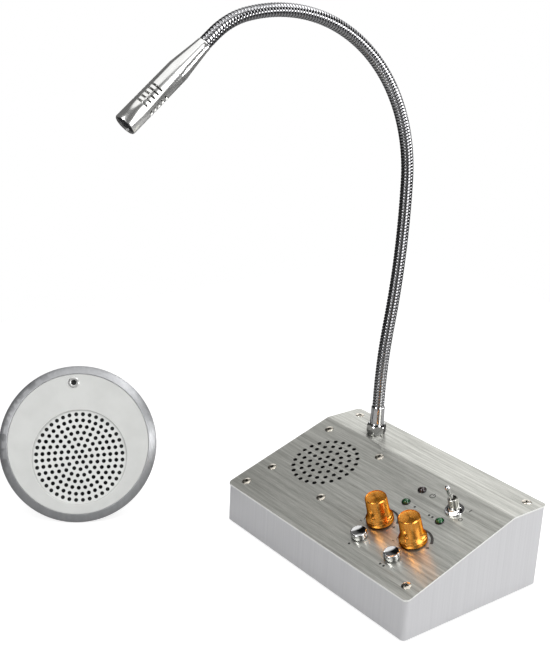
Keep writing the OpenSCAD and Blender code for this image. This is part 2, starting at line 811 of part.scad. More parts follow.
// A ring of points square to the route
function route_ring(s, r, sides) =
    let (p = route_at(s))
    [for (j = [0:sides - 1])
        let (b = 360 * (j + 0.5) / sides)
        [neck_x + r * cos(b),
         neck_y + p[0] + r * sin(b) * cos(p[2]),
         rear_h + ferrule_h + p[1] - r * sin(b) * sin(p[2])]];

// A stretch of the wound tube, with a plain tail before or after it
module wound_tube(from, to, tail_before = 0, tail_after = 0) {
    sides = 8;
    ribs = round((to - from) / rib_pitch);
    step = (to - from) / ribs / 2;
    marks = concat(
        tail_before > 0 ? [[from - tail_before, groove_r]] : [],
        [for (i = [0:2 * ribs]) [from + i * step, i % 2 == 0 ? groove_r : neck_d / 2]],
        tail_after > 0 ? [[to + tail_after, groove_r]] : []);
    bore_steps = ceil((to - from) / 8);
    bore_marks = concat(
        tail_before > 0 ? [from - tail_before] : [],
        [for (i = [0:bore_steps]) from + (to - from) * i / bore_steps],
        tail_after > 0 ? [to + tail_after] : []);
    n = len(marks);
    m = len(bore_marks);
    pts = concat(
        [for (q = marks) each route_ring(q[0], q[1], sides)],
        [for (s = bore_marks) each route_ring(s, bore_r, sides)]);
    bore_at = n * sides;
    function end_faces(a, b, flip) = [
        for (j = [0:sides - 1])
            let (p = a + j, q = a + (j + 1) % sides, u = b + j, v = b + (j + 1) % sides)
            each (flip ? [[p, q, v], [p, v, u]] : [[p, v, q], [p, u, v]])];
    polyhedron(pts, concat(
        wall_faces(n - 1, sides, 0),
        wall_faces(m - 1, sides, bore_at, true),
        end_faces(0, bore_at, true),
        end_faces((n - 1) * sides, bore_at + (m - 1) * sides, false)));
}

module neck_piece(k) {
    from = k == 0 ? 0 : neck_joints[k - 1] + joint_gap / 2;
    to = k == len(neck_joints) ? neck_len : neck_joints[k] - joint_gap / 2;
    color([0.78, 0.78, 0.80])
        wound_tube(from, to, k == 0 ? tail_len : 0, k == len(neck_joints) ? tail_len : 0);
}

// ---- microphone ----

mic_r = mic_d / 2;
mic_wall = 1;
slot_w = 1.3;
slot_count = 5;
slot_first = 13.7;
slot_arc = 64;

module at_mic() {
    p = route_at(neck_len);
    translate([neck_x, neck_y + p[0], rear_h + ferrule_h + p[1]]) rotate([-p[2], 0, 0]) children();
}

module mic_shell() {
    inner = mic_r - mic_wall;
    color([0.84, 0.84, 0.86]) at_mic() difference() {
        rotate_extrude($fn = 72) polygon([
            [groove_r + fit_gap, 0], [4.2, 0], [4.5, 0.4], [4.5, 3], [mic_r, 3 + mic_taper],
            [mic_r, mic_len - 0.5], [mic_r - 0.3, mic_len], [inner, mic_len],
            [inner, 3 + mic_taper + 2], [bore_r + 0.4, 14], [bore_r + 0.1, tail_len],
            [groove_r + fit_gap, tail_len]]);
        for (k = [0:slot_count - 1], turn = [0:3])
            rotate(90 * turn + 13)
                translate([0, 0, mic_len - slot_first - k * slot_pitch - slot_w / 2])
                    rotate_extrude(angle = slot_arc) translate([inner - 1, 0]) square([mic_wall + 2, slot_w]);
    }
}

module mic_grille() {
    color([0.20, 0.20, 0.20]) at_mic() translate([0, 0, mic_len - 1.4]) difference() {
        cylinder(r = mic_r - mic_wall - 0.03, h = 0.6);
        translate([0, 0, 0.7]) hole_rings([1, 6, 12], 1.75, 0.5, 1);
    }
}

module mic_capsule() {
    color([0.62, 0.62, 0.60]) at_mic() translate([0, 0, mic_len - 9])
        cylinder(r = mic_r - mic_wall - 0.25, h = 7.3);
}

// ---- outer unit, drawn with its face towards +Z ----

outer_depth = 9;
outer_rings = [1, 6, 12, 18, 24, 30, 36, 40];
outer_r = outer_d / 2;
face_r = face_d / 2;
can_r = can_d / 2;
seat_r = face_r - 1.5;
mesh_top = -face_sink - face_t;
mesh_back = mesh_top - mesh_t;
can_back = -ring_h - can_len;
outer_screw_r = face_r + 0.3;
bracket_pcd = 60;
bracket_hole_r = 1.65;
socket_y = 31;

module at_outer() {
    translate([outer_x, outer_y, outer_z]) rotate([90 - outer_tilt, 0, outer_turn])
        rotate([0, 0, outer_roll]) children();
}

module outer_ring() {
    color([0.60, 0.61, 0.62]) at_outer() difference() {
        rotate_extrude($fn = 96) polygon([
            [face_r + fit_gap, mesh_top], [face_r + fit_gap, 0], [face_r + 0.5, 0],
            [outer_r - 0.3, -3], [outer_r, -3.5], [outer_r, -ring_h], [seat_r, -ring_h], [seat_r, mesh_top]]);
        at_outer_screws() translate([0, 0, -eps]) cylinder(r = 1 + thread_gap, h = 3);
    }
}

module at_outer_screws() {
    for (i = [0:3]) rotate(45 + 90 * i) translate([outer_screw_r, 0, -ring_h]) children();
}

module outer_face() {
    color([0.84, 0.84, 0.83]) at_outer() difference() {
        translate([0, 0, mesh_top]) cylinder(r = face_r, h = face_t, $fn = 96);
        translate([0, -grille_drop, mesh_top - 1]) cylinder(r = sunk_d / 2, h = face_t + 2, $fn = 96);
        translate([0, -grille_drop, -face_sink - 0.5])
            cylinder(r1 = sunk_d / 2 - eps, r2 = sunk_d / 2 + 0.5, h = 0.5 + eps, $fn = 96);
        translate([0, outer_mic, mesh_top - 1]) cylinder(r = 2.5 + fit_gap, h = face_t + 2);
    }
}

module outer_grille() {
    color([0.86, 0.86, 0.85]) at_outer() translate([0, -grille_drop, mesh_back]) difference() {
        cylinder(r = sunk_d / 2 + 2, h = mesh_t, $fn = 96);
        translate([0, 0, mesh_t]) hole_rings(outer_rings, outer_pitch, outer_hole / 2, mesh_t + 1);
    }
}

module outer_mic_eyelet() {
    color([0.80, 0.80, 0.80]) at_outer() translate([0, outer_mic, 0]) rotate_extrude() polygon([
        [1.8, mesh_top - 0.4], [2.5, mesh_top - 0.4], [2.5, -face_sink], [3.6, -face_sink],
        [3.6, -face_sink + 0.2], [3.1, 0.3], [2.3, 0.3], [1.8, -0.1]]);
}

module outer_mic_capsule() {
    color([0.14, 0.14, 0.14]) at_outer()
        translate([0, outer_mic, mesh_top - 3.6]) cylinder(r = 3, h = 3.2);
}

module at_outer_driver() {
    at_outer() translate([0, -grille_drop, mesh_back]) children();
}

module outer_gasket() {
    color([0.10, 0.10, 0.10]) at_outer_driver() driver_gasket(driver_r);
}

module outer_speaker_frame() {
    color([0.25, 0.26, 0.28]) at_outer_driver() driver_frame(driver_r, outer_depth, false);
}

module outer_speaker_cone() {
    color([0.14, 0.14, 0.15]) at_outer_driver() driver_cone(driver_r, outer_depth);
}

module outer_speaker_magnet() {
    color([0.35, 0.36, 0.38]) at_outer_driver() driver_magnet(outer_depth, 5, 1.5);
}

module outer_can() {
    color([0.16, 0.16, 0.17]) at_outer() difference() {
        union() {
            rotate_extrude($fn = 96) polygon([
                [can_r - can_wall, -ring_h], [can_flange_r, -ring_h], [can_flange_r, -ring_h - can_wall],
                [can_r, -ring_h - can_wall], [can_r, can_back], [0, can_back],
                [0, can_back + can_wall], [can_r - can_wall, can_back + can_wall]]);
            at_bracket_holes() translate([0, 0, can_wall / 2]) cylinder(r = bracket_hole_r + 2, h = 3 + can_wall / 2);
        }
        at_bracket_holes() translate([0, 0, -1]) cylinder(r = bracket_hole_r, h = 8);
        translate([0, socket_y, can_back - 1]) cylinder(r = line_nose_r + fit_gap, h = can_wall + 2);
        at_outer_screws() translate([0, 0, -can_wall - 1]) cylinder(r = 1 + fit_gap, h = can_wall + 2);
    }
}

module at_bracket_holes() {
    for (i = [0:3]) rotate(45 + 90 * i) translate([bracket_pcd / 2, 0, can_back]) children();
}

module outer_socket() {
    color([0.12, 0.12, 0.12]) at_outer() translate([0, socket_y, can_back]) difference() {
        union() {
            translate([0, 0, can_wall]) cylinder(r = 4, h = 12);
            translate([0, 0, -nose_reach]) cylinder(r = line_nose_r, h = can_wall + nose_reach + 1);
        }
        translate([0, 0, -nose_reach - 1]) cylinder(r = 1.8, h = 13);
    }
}

module outer_screws() {
    color([0.20, 0.20, 0.20]) at_outer() at_outer_screws() {
        translate([0, 0, -can_wall - 1.2]) difference() {
            cylinder(r = 1.7, h = 1.2);
            translate([-1, -0.25, -1]) cube([2, 0.5, 1.6]);
            translate([-0.25, -1, -1]) cube([0.5, 2, 1.6]);
        }
        translate([0, 0, -can_wall - eps]) cylinder(r = 1, h = can_wall + 2.8);
    }
}

// ---- what is drawn ----

housing();
rubber_feet();
top_panel();
panel_screws();
speaker_gasket();
speaker_frame();
speaker_cone();
speaker_magnet();
speaker_screws();
speaker_nuts();
main_board();
board_screws();
capacitors();
amplifier_chip();
wire_headers();
power_inlet();
line_sockets();
pot_bodies();
pot_nuts();
pot_shaft(0);  // pot_shaft_1
pot_shaft(1);  // pot_shaft_2
knob(0);  // knob_1
knob(1);  // knob_2
button_nuts();
button_switches();
button_cap(0);  // button_cap_1
button_cap(1);  // button_cap_2
button_spring(0);  // button_spring_1
button_spring(1);  // button_spring_2
lamp_holders();
channel_lamps();
power_lamp();
toggle_body();
toggle_washer();
toggle_nut();
toggle_lever();
neck_nut();
neck_ferrule();
neck_lock_nut();
neck_piece(0);  // neck_root
neck_piece(1);  // neck_lower
neck_piece(2);  // neck_middle
neck_piece(3);  // neck_arch
neck_piece(4);  // neck_end
mic_shell();
mic_grille();
mic_capsule();
outer_ring();
outer_face();
outer_grille();
outer_mic_eyelet();
outer_mic_capsule();
outer_gasket();
outer_speaker_frame();
outer_speaker_cone();
outer_speaker_magnet();
outer_can();
outer_socket();
outer_screws();
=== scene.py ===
import math

import bpy
from mathutils import Matrix, Vector


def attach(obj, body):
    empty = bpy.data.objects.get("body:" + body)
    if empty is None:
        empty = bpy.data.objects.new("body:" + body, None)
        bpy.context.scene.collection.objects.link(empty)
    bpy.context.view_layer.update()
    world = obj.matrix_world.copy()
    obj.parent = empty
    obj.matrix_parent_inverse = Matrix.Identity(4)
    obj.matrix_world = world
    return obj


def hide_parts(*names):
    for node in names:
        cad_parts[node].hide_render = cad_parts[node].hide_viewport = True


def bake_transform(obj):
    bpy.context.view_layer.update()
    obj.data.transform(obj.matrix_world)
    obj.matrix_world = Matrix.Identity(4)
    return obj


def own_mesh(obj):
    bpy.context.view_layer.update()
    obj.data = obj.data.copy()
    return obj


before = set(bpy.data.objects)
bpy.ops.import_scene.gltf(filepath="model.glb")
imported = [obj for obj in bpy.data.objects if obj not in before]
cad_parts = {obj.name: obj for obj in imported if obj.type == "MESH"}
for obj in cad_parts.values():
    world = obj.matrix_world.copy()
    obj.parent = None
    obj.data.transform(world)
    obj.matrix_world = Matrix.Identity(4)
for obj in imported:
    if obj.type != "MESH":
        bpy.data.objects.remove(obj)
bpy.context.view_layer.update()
print("frame loaded")

# Pieces are modelled in millimetres round the origin, then set in place in metres
mm = 0.001
here = Matrix.Identity(4)


def deselect():
    if bpy.context.object and bpy.context.object.mode != "OBJECT":
        bpy.ops.object.mode_set(mode="OBJECT")
    bpy.ops.object.select_all(action="DESELECT")


def pickOnly(piece):
    deselect()
    piece.select_set(True)
    bpy.context.view_layer.objects.active = piece


def edit(piece, selectMode="VERT"):
    pickOnly(piece)
    bpy.ops.object.mode_set(mode="EDIT")
    bpy.ops.mesh.select_mode(type=selectMode)
    bpy.ops.mesh.select_all(action="SELECT")


def named(name):
    piece = bpy.context.object
    piece.name = piece.data.name = name
    return piece


def drawn(name, profile):  # a line of (radius, height) points, left in edit mode
    deselect()
    bpy.ops.mesh.primitive_plane_add(size=1)
    piece = named(name)
    edit(piece)
    bpy.ops.mesh.merge(type="CENTER")
    bpy.ops.transform.translate(value=(profile[0][0], 0, profile[0][1]))
    for (r0, z0), (r1, z1) in zip(profile, profile[1:]):
        bpy.ops.mesh.extrude_vertices_move(TRANSFORM_OT_translate={"value": (r1 - r0, 0, z1 - z0)})
    return piece


def turned(name, profile, steps=64):  # spun like a piece on a lathe
    piece = drawn(name, profile)
    bpy.ops.mesh.select_all(action="SELECT")
    bpy.ops.mesh.spin(steps=steps, angle=2 * math.pi, center=(0, 0, 0), axis=(0, 0, 1))
    bpy.ops.mesh.select_all(action="SELECT")
    bpy.ops.mesh.remove_doubles(threshold=1e-4)
    bpy.ops.mesh.normals_make_consistent(inside=False)
    bpy.ops.object.mode_set(mode="OBJECT")
    return piece


def modify(piece, kind, **settings):
    pickOnly(piece)
    step = piece.modifiers.new(kind.title(), kind)
    for key, value in settings.items():
        setattr(step, key, value)
    bpy.ops.object.modifier_apply(modifier=step.name)
    return piece


def rounded(piece, width, segments=2, angle=30):  # hardened normals keep the flats flat to the eye
    pickOnly(piece)
    bpy.ops.object.shade_smooth()
    return modify(piece, "BEVEL", width=width, segments=segments, limit_method="ANGLE",
                  angle_limit=math.radians(angle), harden_normals=True)


def smooth(piece, angle=38):
    pickOnly(piece)
    bpy.ops.object.shade_smooth_by_angle(angle=math.radians(angle))
    return piece


def cut(piece, cutter):
    modify(piece, "BOOLEAN", operation="DIFFERENCE", solver="EXACT", object=cutter, use_self=True)
    bpy.data.objects.remove(cutter)
    return piece


def joined(name, pieces):
    deselect()
    for piece in pieces:
        piece.select_set(True)
    bpy.context.view_layer.objects.active = pieces[0]
    if len(pieces) > 1:
        bpy.ops.object.join()
    return named(name)


def moved(piece, place):
    piece.data.transform(place)
    return piece


def copied(piece, name):
    twin = piece.copy()
    twin.data = piece.data.copy()
    bpy.context.scene.collection.objects.link(twin)
    twin.name = twin.data.name = name
    return twin


def fromNode(node, name):  # a copy of a CAD node, in millimetres and with its triangles merged
    piece = copied(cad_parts[node], name)
    piece.parent = None
    for key in list(piece.keys()):
        del piece[key]
    piece.data.transform(Matrix.Scale(1 / mm, 4))
    edit(piece)
    bpy.ops.mesh.customdata_custom_splitnormals_clear()
    bpy.ops.mesh.remove_doubles(threshold=1e-3)
    bpy.ops.mesh.dissolve_limited(angle_limit=math.radians(0.5), use_dissolve_boundaries=False)
    bpy.ops.object.mode_set(mode="OBJECT")
    return piece


def setIn(piece, place, body, slot, finish, *nodes):
    piece.data.transform(Matrix.Scale(mm, 4) @ place)
    if finish:
        piece.data.materials.clear()
        piece.data.materials.append(finish)
    if body:
        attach(piece, body)
    if nodes:
        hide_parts(*nodes)
    return piece


# Places on the console and the outer unit, from the same sizes as the CAD
console = {"width": 170, "depth": 113, "front": 26.6, "rear": 54.1, "flat": 28.8, "foot": 1.5}
slopeAngle = math.atan2(console["rear"] - console["front"], console["depth"] - console["flat"])
columns = (23.9, 52.8)


def onSlope(x, s, lift=0):
    foot = (x, s * math.cos(slopeAngle) - console["depth"] / 2, console["front"] + s * math.sin(slopeAngle))
    return Matrix.Translation(foot) @ Matrix.Rotation(slopeAngle, 4, "X") @ Matrix.Translation((0, 0, lift))


def onFlat(x, y):
    return Matrix.Translation((x, y, console["rear"]))


outer = {"x": -150, "y": -133, "turn": 61.6, "roll": 4, "diameter": 103, "can": 82, "canLength": 22.3,
         "ring": 6}
outerTilt = math.atan2((outer["diameter"] - outer["can"]) / 2, outer["canLength"])
outerHeight = (outer["diameter"] / 2 * math.cos(outerTilt) + outer["ring"] * math.sin(outerTilt)
               - console["foot"])
outerPlace = (Matrix.Translation((outer["x"], outer["y"], outerHeight))
              @ Matrix.Rotation(math.radians(outer["turn"]), 4, "Z")
              @ Matrix.Rotation(math.pi / 2 - outerTilt, 4, "X")
              @ Matrix.Rotation(math.radians(outer["roll"]), 4, "Z"))

neck = {"x": -48, "y": 38.5, "start": 74, "diameter": 8, "groove": 0.55, "pitch": 2.08, "tail": 7.5,
        "route": ((8, 0), (50, 8.3), (96, -10.4), (190, -99), (24, -28.5), (8, 0)),
        "joints": (24, 100, 200, 300), "cuts": (62, 150, 250), "length": 376}


def neckAt(s):  # the point at distance s along the neck, and its lean from upright
    y = z = lean = 0
    for i, (length, turn) in enumerate(neck["route"]):
        part = s if i == len(neck["route"]) - 1 else min(s, length)
        turnBy = math.radians(turn) * part / length
        if turn:
            radius = length / math.radians(turn)
            y += radius * (math.cos(lean) - math.cos(lean + turnBy))
            z += radius * (math.sin(lean + turnBy) - math.sin(lean))
        else:
            y += part * math.sin(lean)
            z += part * math.cos(lean)
        lean += turnBy
        s -= part
        if s == 0:
            break
    return Vector((neck["x"], neck["y"] + y, neck["start"] + z)), lean


def alongNeck(s):
    point, lean = neckAt(s)
    return Matrix.Translation(point) @ Matrix.Rotation(-lean, 4, "X")


# Camera: place, turn and lens as fitted to the photograph
cameraAt = Vector((474.9, -470.2, 381.6)) * mm
cameraAxes = Matrix(((0.609, -0.287, 0.740), (0.792, 0.164, -0.588), (0.048, 0.944, 0.328)))
bpy.ops.object.camera_add()
camera = named("camera")
camera.matrix_world = Matrix.Translation(cameraAt) @ cameraAxes.to_quaternion().to_matrix().to_4x4()
camera.data.sensor_width = 36
camera.data.lens = 65.14
camera.data.clip_start = 0.01
camera.data.clip_end = 50
bpy.context.scene.camera = camera
print("camera set")


def linear(colour):  # an sRGB hex value as linear numbers
    parts = [int(colour[i:i + 2], 16) / 255 for i in (1, 3, 5)]
    return [p / 12.92 if p <= 0.04045 else ((p + 0.055) / 1.055) ** 2.4 for p in parts] + [1]


def addNode(tree, kind, links=None, stops=(), **settings):  # in_ marks a socket, the rest are properties
    node = tree.nodes.new(kind)
    for key, value in settings.items():
        if key.startswith("in_"):
            name = key[3:]
            node.inputs[int(name) if name.isdigit() else name.replace("_", " ")].default_value = value
        else:
            setattr(node, key, value)
    for key, source in (links or {}).items():
        output = source.outputs[0] if isinstance(source, bpy.types.Node) else source
        tree.links.new(output, node.inputs[key])
    for position, colour in stops[1:-1]:
        node.color_ramp.elements.new(position)
    for i, (position, colour) in enumerate(stops):
        element = node.color_ramp.elements[i]
        element.position = position
        element.color = linear(colour) if isinstance(colour, str) else (colour, colour, colour, 1)
    return node


def surface(name):
    material = bpy.data.materials.new(name)
    material.use_nodes = True
    tree = material.node_tree
    return material, tree, tree.nodes["Principled BSDF"]


def feed(tree, shader, **sources):  # links each node's first output to the shader's socket of that name
    for key, node in sources.items():
        tree.links.new(node.outputs[0], shader.inputs[key.replace("_", " ")])


def coordinates(tree, place=here, scale=(1, 1, 1)):  # object coordinates in a piece's own axes, stretched
    where = addNode(tree, "ShaderNodeTexCoord")
    own = addNode(tree, "ShaderNodeMapping", {"Vector": where.outputs["Object"]}, vector_type="TEXTURE",
                  in_Location=place.to_translation() * mm, in_Rotation=place.to_euler())
    return addNode(tree, "ShaderNodeMapping", {"Vector": own}, in_Scale=scale)


def sized(millimetres):  # how often a pattern of this size repeats in a metre
    return [1 / (millimetres * mm)] * 3


middling = {"in_From_Min": 0.3, "in_From_Max": 0.7}  # where nearly all of a noise's values lie


# Streaks wide and long in millimetres, far wider than real scratches so that they show
def brushedMetal(name, dark, light, rough, along, wide=0.3, long=40, metallic=1, spread=0):
    material, tree, shader = surface(name)
    fine = [1 / (long * mm) if axis == along else 1 / (wide * mm) for axis in "XYZ"]
    broad = [1 / (6 * long * mm) if axis == along else 1 / (9 * wide * mm) for axis in "XYZ"]
    streaks = addNode(tree, "ShaderNodeTexNoise", {"Vector": coordinates(tree, here, fine)}, in_Scale=1,
                      in_Detail=3, in_Roughness=0.65)
    bands = addNode(tree, "ShaderNodeTexNoise", {"Vector": coordinates(tree, here, broad)}, in_Scale=1,
                    in_Detail=3)
    mixed = addNode(tree, "ShaderNodeMath", {0: streaks, 1: bands}, operation="ADD")
    mean = addNode(tree, "ShaderNodeMath", {0: mixed}, operation="MULTIPLY", in_1=0.5)
    colour = addNode(tree, "ShaderNodeValToRGB", {"Fac": mean}, ((0.36, dark), (0.64, light)))
    gloss = addNode(tree, "ShaderNodeMapRange", {"Value": streaks}, in_To_Min=rough + 0.05,
                    in_To_Max=rough - 0.05, **middling)
    relief = addNode(tree, "ShaderNodeBump", {"Height": streaks}, in_Strength=0.3, in_Distance=0.02 * mm)
    feed(tree, shader, Base_Color=colour, Roughness=gloss, Normal=relief)
    shader.inputs["Metallic"].default_value = metallic
    if spread:  # the grooves run along X and spread a reflection across themselves
        shader.inputs["Anisotropic"].default_value = spread
        feed(tree, shader, Tangent=addNode(tree, "ShaderNodeCombineXYZ", in_X=1))
    return material


def polishedMetal(name, colour, rough, smudge=0.05, metallic=1):
    material, tree, shader = surface(name)
    clouds = addNode(tree, "ShaderNodeTexNoise", {"Vector": coordinates(tree, here, sized(9))}, in_Scale=1,
                     in_Detail=4)
    worn = "#%02x%02x%02x" % tuple(int(int(colour[i:i + 2], 16) * 0.96) for i in (1, 3, 5))
    tint = addNode(tree, "ShaderNodeValToRGB", {"Fac": clouds}, ((0.3, worn), (0.7, colour)))
    gloss = addNode(tree, "ShaderNodeMapRange", {"Value": clouds}, in_To_Min=rough, in_To_Max=rough + smudge,
                    **middling)
    feed(tree, shader, Base_Color=tint, Roughness=gloss)
    shader.inputs["Metallic"].default_value = metallic
    return material


def chromeWithPaintedGrooveShade(name, dark, light, rough):  # bright on the ribs, dull down between them, and darker there as painted shade in the grooves
    material, tree, shader = surface(name)
    own = addNode(tree, "ShaderNodeUVMap", uv_map="ribHeight")
    height = addNode(tree, "ShaderNodeSeparateXYZ", {"Vector": own})
    tint = addNode(tree, "ShaderNodeValToRGB", {"Fac": height}, ((0.45, dark), (0.8, light)))
    gloss = addNode(tree, "ShaderNodeMapRange", {"Value": height}, in_From_Min=0.3, in_From_Max=0.9,
                    in_To_Min=rough + 0.3, in_To_Max=rough)
    feed(tree, shader, Base_Color=tint, Roughness=gloss)
    shader.inputs["Metallic"].default_value = 1
    return material


# Grain in millimetres, coarser than a real skin's so that it shows
def mouldedPlastic(name, dark, light, rough, grain=0.4, depth=0.01, coat=0):
    material, tree, shader = surface(name)
    pebbles = addNode(tree, "ShaderNodeTexNoise", {"Vector": coordinates(tree, here, sized(grain))},
                      in_Scale=1)
    broad = addNode(tree, "ShaderNodeTexNoise", {"Vector": coordinates(tree, here, sized(14))}, in_Scale=1,
                    in_Detail=3)
    tint = addNode(tree, "ShaderNodeValToRGB", {"Fac": broad}, ((0.35, dark), (0.65, light)))
    gloss = addNode(tree, "ShaderNodeMapRange", {"Value": pebbles}, in_To_Min=rough - 0.04,
                    in_To_Max=rough + 0.06, **middling)
    relief = addNode(tree, "ShaderNodeBump", {"Height": pebbles}, in_Strength=0.5, in_Distance=depth * mm)
    feed(tree, shader, Base_Color=tint, Roughness=gloss, Normal=relief)
    shader.inputs["Coat Weight"].default_value = coat
    return material


# Grooves in millimetres, wider than a real tool leaves so that they show
def turnedMetal(name, dark, light, edge, rough, place, spread=0.7, paintedFanSpokes=4, groove=0.2):
    material, tree, shader = surface(name)
    own = coordinates(tree, place)
    parts = addNode(tree, "ShaderNodeSeparateXYZ", {"Vector": own})
    across, up = parts.outputs["X"], parts.outputs["Y"]
    # Gold lighter and darker by angle round the axis: painted highlight, as spokes on the top and upright
    # bands on the side
    angle = addNode(tree, "ShaderNodeMath", {0: up, 1: across}, operation="ARCTAN2")
    swirl = addNode(tree, "ShaderNodeCombineXYZ", {"X": angle})
    fan = addNode(tree, "ShaderNodeMapping", {"Vector": swirl}, in_Scale=(paintedFanSpokes, 1, 1))
    paintedFanStreaks = addNode(tree, "ShaderNodeTexNoise", {"Vector": fan}, in_Scale=1, in_Detail=3)
    tint = addNode(tree, "ShaderNodeValToRGB", {"Fac": paintedFanStreaks}, ((0.3, dark), (0.7, light)))
    fine = addNode(tree, "ShaderNodeMapping", {"Vector": own}, in_Scale=(0, 0, 1 / (groove * mm)))
    rings = addNode(tree, "ShaderNodeTexNoise", {"Vector": fine}, in_Scale=1)
    gloss = addNode(tree, "ShaderNodeMapRange", {"Value": rings}, in_To_Min=rough - 0.03,
                    in_To_Max=rough + 0.04, **middling)
    minus = addNode(tree, "ShaderNodeMath", {0: up}, operation="MULTIPLY", in_1=-1)
    groovesRun = addNode(tree, "ShaderNodeCombineXYZ", {"X": minus, "Y": across})
    inWorld = addNode(tree, "ShaderNodeMapping", {"Vector": groovesRun}, vector_type="VECTOR",
                      in_Rotation=place.to_euler())
    feed(tree, shader, Base_Color=tint, Roughness=gloss, Tangent=inWorld)
    shader.inputs["Metallic"].default_value = 1
    shader.inputs["Specular Tint"].default_value = linear(edge)
    shader.inputs["Anisotropic"].default_value = spread
    return material


# Aluminium sheet drawn under an abrasive belt: streaks along X that smear reflections down the slope
brushedAluminium = brushedMetal("brushedAluminium", "#979791", "#cdcdc7", 0.36, "X", wide=0.2, long=9,
                                spread=0.8)
# The sheet's sheared and deburred edge, near white in colour as a painted highlight: a bright line round the
# panel
cutEdgeWithPaintedHighlight = brushedMetal("shearedEdgePaintedHighlight", "#f0f0ee", "#fafaf8", 0.3, "X", wide=0.2, long=12, metallic=0.3)
# Case with a satin skin: a faint upright grain and a soft sheen
caseMetal = brushedMetal("satinCaseMetal", "#dcdcde", "#e4e4e6", 0.45, "Z", wide=0.25, long=60, metallic=0.7)
# Bright nickel-chrome plate, nearly a mirror with a breath of handling
chrome = polishedMetal("polishedChrome", "#d4d4d4", 0.05)
# Satin chrome of the microphone, its lights a little softer than on the polished pieces
satinChrome = polishedMetal("satinMicrophoneChrome", "#e6e6e4", 0.13, metallic=0.85)
# Chrome plate on wound wire: bright crests, dark between the turns as painted shade
tubeChromeWithPaintedShade = chromeWithPaintedGrooveShade("woundTubeChromePaintedShade", "#0a0a0b", "#a4a4a6", 0.1)
# Zinc plate on pressed screws: pale, faintly yellow and soft
screwZinc = polishedMetal("zincPlatedScrew", "#dbd5c8", 0.2, 0.08)
# The same zinc down in the driver recess: dull, and dark as painted shade in the recess
zincWithPaintedRecessShade = polishedMetal("zincPaintedRecessShade", "#3f3c36", 0.5, 0.1)
# Plain nickel plate on nuts, shafts and cans inside: soft grey lights
plainNickel = polishedMetal("plainNickel", "#b9b8b2", 0.28, 0.1)
# Satin nickel of the small eyelet: pale, with blurred lights
satinNickel = polishedMetal("satinNickel", "#dcdcda", 0.34)
# Drawn spring wire: grey, with thin lights along it
springWire = polishedMetal("springWire", "#a9aaad", 0.25)
# Black ABS from an eroded mould: a fine grain that dulls its lights
blackMoulding = mouldedPlastic("blackMoulding", "#101010", "#181818", 0.4)
# The same moulded glossy for the lamp holders: small sharp lights
glossBlack = mouldedPlastic("glossBlackBezel", "#08080a", "#0e0e10", 0.16, coat=0.4)
# Moulded rubber: nearly black and quite dull
feetRubber = mouldedPlastic("feetRubber", "#171716", "#211f1e", 0.75, 0.5, 0.03)
# Cut foam: open cells, no lights at all
foam = mouldedPlastic("gasketFoam", "#0e0e0e", "#191919", 0.9, 0.3, 0.06)
# Pressed paper cone: dark, with a felted surface
conePaper = mouldedPlastic("pressedConePaper", "#161617", "#232325", 0.85, 0.8, 0.05)
# Pressed steel basket, dipped in grey paint: even and half matt
basketPaint = mouldedPlastic("basketPaint", "#2f3236", "#3c4045", 0.5, 0.3)
# Ground ferrite ring: dark grey, faintly speckled
magnetFerrite = mouldedPlastic("groundFerrite", "#3a3b3d", "#505256", 0.55, 0.6, 0.02)
# Solder mask on a circuit board: glossy green, a little uneven
boardMask = mouldedPlastic("boardSolderMask", "#0c4a2a", "#13603a", 0.3, 2.5, 0.02, coat=0.4)
# Shrunk sleeve of a capacitor: taut, shiny dark blue
capSleeve = mouldedPlastic("shrunkSleeve", "#141a36", "#1c2448", 0.25, 1.5, coat=0.3)
# Extruded heat sink: draw lines up its fins
sinkAluminium = brushedMetal("extrudedAluminium", "#8e9092", "#a7a9ab", 0.4, "Z")
# Natural nylon of the wire headers: cream and half matt
creamNylon = mouldedPlastic("creamNylon", "#ddd8c4", "#e8e3d2", 0.45)
# Matt black stoving paint: fine grain, wide dull lights
blackPaint = mouldedPlastic("mattBlackPaint", "#1b1b1d", "#262629", 0.55, 0.25, 0.02)
# Screen-printed ink: a thin matt film
ink = mouldedPlastic("screenPrintInk", "#2b2b2a", "#3a3a38", 0.6, 0.2, 0.005)
# Sprayed front of the outer unit: smooth with a trace of orange peel
facePaint = mouldedPlastic("paleFacePaint", "#b7b8b6", "#bdbebc", 0.36, 0.6, 0.004)
# The same paint on the punched disc, a shade paler
meshPaint = mouldedPlastic("paleGrillePaint", "#c2c3c1", "#c9cac8", 0.42, 0.6, 0.004)
# Tinted epoxy of the lamps: glossy, with small sharp lights over a dark body
lampGreen = mouldedPlastic("greenLampEpoxy", "#07401d", "#0b5a2a", 0.1, 1.2, 0.002, coat=0.6)
lampDark = mouldedPlastic("darkLampEpoxy", "#160c0e", "#241417", 0.1, 1.2, 0.002, coat=0.6)
# Spun ring with a satin metallic finish: wide soft lights
ringMetal = brushedMetal("satinRingMetal", "#a4a5a7", "#b0b1b3", 0.44, "Z", wide=0.25, long=3)
print("surfaces made")


edges = {"case": 0.3, "panel": 0.3, "feet": 0.4, "corner": 4, "rim": 4.1}

case = smooth(rounded(fromNode("housing", "case"), edges["case"], 3))
setIn(case, here, "console", "housing_paint", caseMetal, "housing")

panel = smooth(rounded(fromNode("top_panel", "panel"), edges["panel"]))
panel.data.materials.clear()
panel.data.materials.append(brushedAluminium)
panel.data.materials.append(cutEdgeWithPaintedHighlight)
for face in panel.data.polygons:  # the sheared rim all round, bevel and all, which carries the painted highlight
    x, y, z = face.center
    beyond = math.hypot(max(abs(x) - console["width"] / 2 + edges["corner"], 0),
                        max(abs(y) - console["depth"] / 2 + edges["corner"], 0))
    if beyond > edges["rim"] and abs(face.normal.z) < 0.9:
        face.material_index = 1
setIn(panel, here, "console", "panel_metal", None, "top_panel")

feet = smooth(rounded(fromNode("rubber_feet", "feet"), edges["feet"], 3))
setIn(feet, here, "console", "foot_rubber", feetRubber, "rubber_feet")
print("console made")


